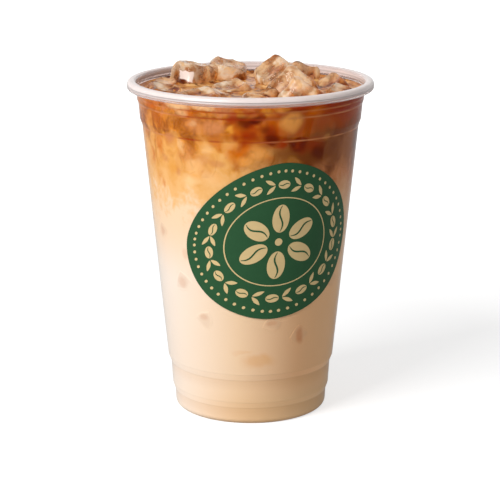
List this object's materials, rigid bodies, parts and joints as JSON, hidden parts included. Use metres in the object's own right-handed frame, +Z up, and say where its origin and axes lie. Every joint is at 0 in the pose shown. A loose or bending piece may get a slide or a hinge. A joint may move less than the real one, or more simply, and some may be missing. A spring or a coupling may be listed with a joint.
{
  "type": "iced coffee in a clear takeaway cup",
  "caption": "Iced coffee with milk in a clear tapered plastic cup with a rolled rim, filled to the brim, with ice cubes rising above it.",
  "frame": {"origin": "centre of the cup's foot ring, on the surface it stands on", "axes": "+Z up along the cup's axis; -Y is the side with the printed field"},
  "size_m": [0.098, 0.098, 0.1414],
  "materials": {
    "clear_plastic": "thin clear smooth plastic, milky at its rim",
    "milky_coffee": "coffee and milk, amber on top and creamy below",
    "ice": "wet melting ice tinted by coffee"
  },
  "bodies": {
    "root": {"cup": "clear_plastic", "drink": "milky_coffee", "ice_left": "ice", "ice_back": "ice", "ice_peak": "ice", "ice_back_right": "ice", "ice_middle": "ice", "ice_front_right": "ice", "ice_right": "ice", "ice_side": "ice", "ice_front_left": "ice", "ice_front": "ice", "ice_left_flat": "ice", "ice_centre": "ice", "ice_left_back": "ice", "ice_back_wall": "ice", "ice_middle_left": "ice", "ice_middle_front": "ice"}
  },
  "joints": []
}
